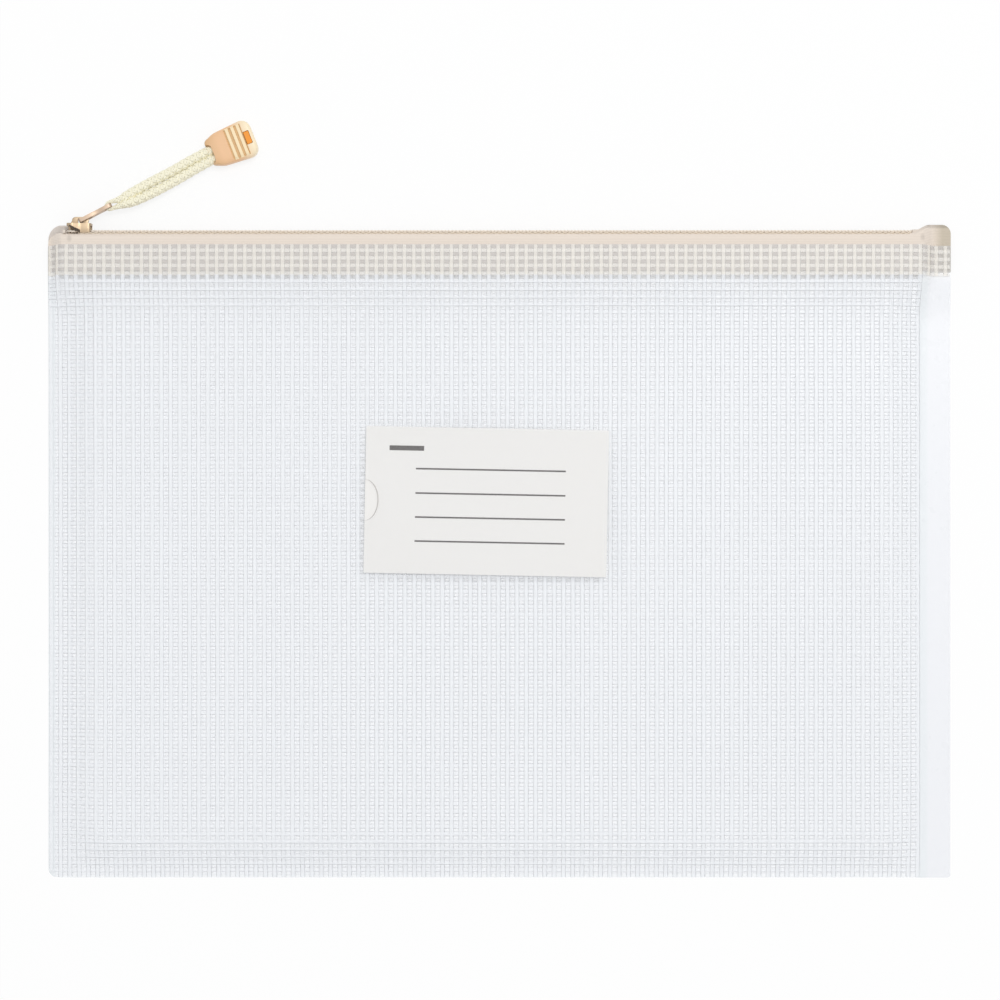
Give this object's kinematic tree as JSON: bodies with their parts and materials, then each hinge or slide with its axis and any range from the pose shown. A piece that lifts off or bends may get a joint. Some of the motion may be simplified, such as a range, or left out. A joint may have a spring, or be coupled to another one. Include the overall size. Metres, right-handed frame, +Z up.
{
  "type": "mesh file bag",
  "caption": "Flat zip pouch of film-covered mesh for papers, with a clear card pocket on the front and a doubled cord and tag on the zip pull.",
  "frame": {"origin": "on the underside of the back panel, midway between the sides and between the bottom edge and the fold of the zip tapes", "axes": "+X along the zip, away from the closed end's slider; +Y towards the zip; +Z up out of the front panel, with the bag lying on its back"},
  "size_m": [0.3362, 0.2815, 0.0088],
  "materials": {
    "mesh_sheet": "satin film over a white yarn grid",
    "zip_tape": "woven",
    "zip_coil": "satin",
    "gold_metal": "polished",
    "pull_metal": "satin",
    "cord_braid": "braided",
    "tag_plastic": "satin",
    "insert_plastic": "satin",
    "clear_film": "clear gloss",
    "card_stock": "matt"
  },
  "bodies": {
    "bag": {"back_panel": "mesh_sheet", "front_panel": "mesh_sheet", "zip_tape_back": "zip_tape", "zip_tape_front": "zip_tape", "zip_coil_back": "zip_coil", "zip_coil_front": "zip_coil", "top_stop_front": "gold_metal", "top_stop_back": "gold_metal", "bottom_stop": "gold_metal", "card_pocket": "clear_film"},
    "slider": {"slider_body": "gold_metal"},
    "pull": {"pull_tab": "pull_metal"},
    "cord": {"pull_cord": "cord_braid", "tag_shell": "tag_plastic", "tag_insert": "insert_plastic"},
    "card": {"index_card": "card_stock"}
  },
  "joints": [
    {"name": "slider_slide", "type": "slide", "parent": "bag", "child": "slider", "axis": [1, 0, 0], "range_m": [0, 0.304], "deforming": ["zip_coil_front", "zip_coil_back"]},
    {"name": "pull_hinge", "type": "hinge", "parent": "slider", "child": "pull", "pos_m": [-0.1556, 0.124, 0.0044], "axis": [0, 0, 1], "range_deg": [-10, 120]},
    {"name": "cord_swing", "type": "hinge", "parent": "pull", "child": "cord", "pos_m": [-0.14447, 0.12979, 0.0044], "axis": [0, 0, 1], "range_deg": [-15, 25]},
    {"name": "card_slide", "type": "slide", "parent": "bag", "child": "card", "axis": [-0.9998, 0.0192, 0], "range_m": [0, 0.095]}
  ]
}
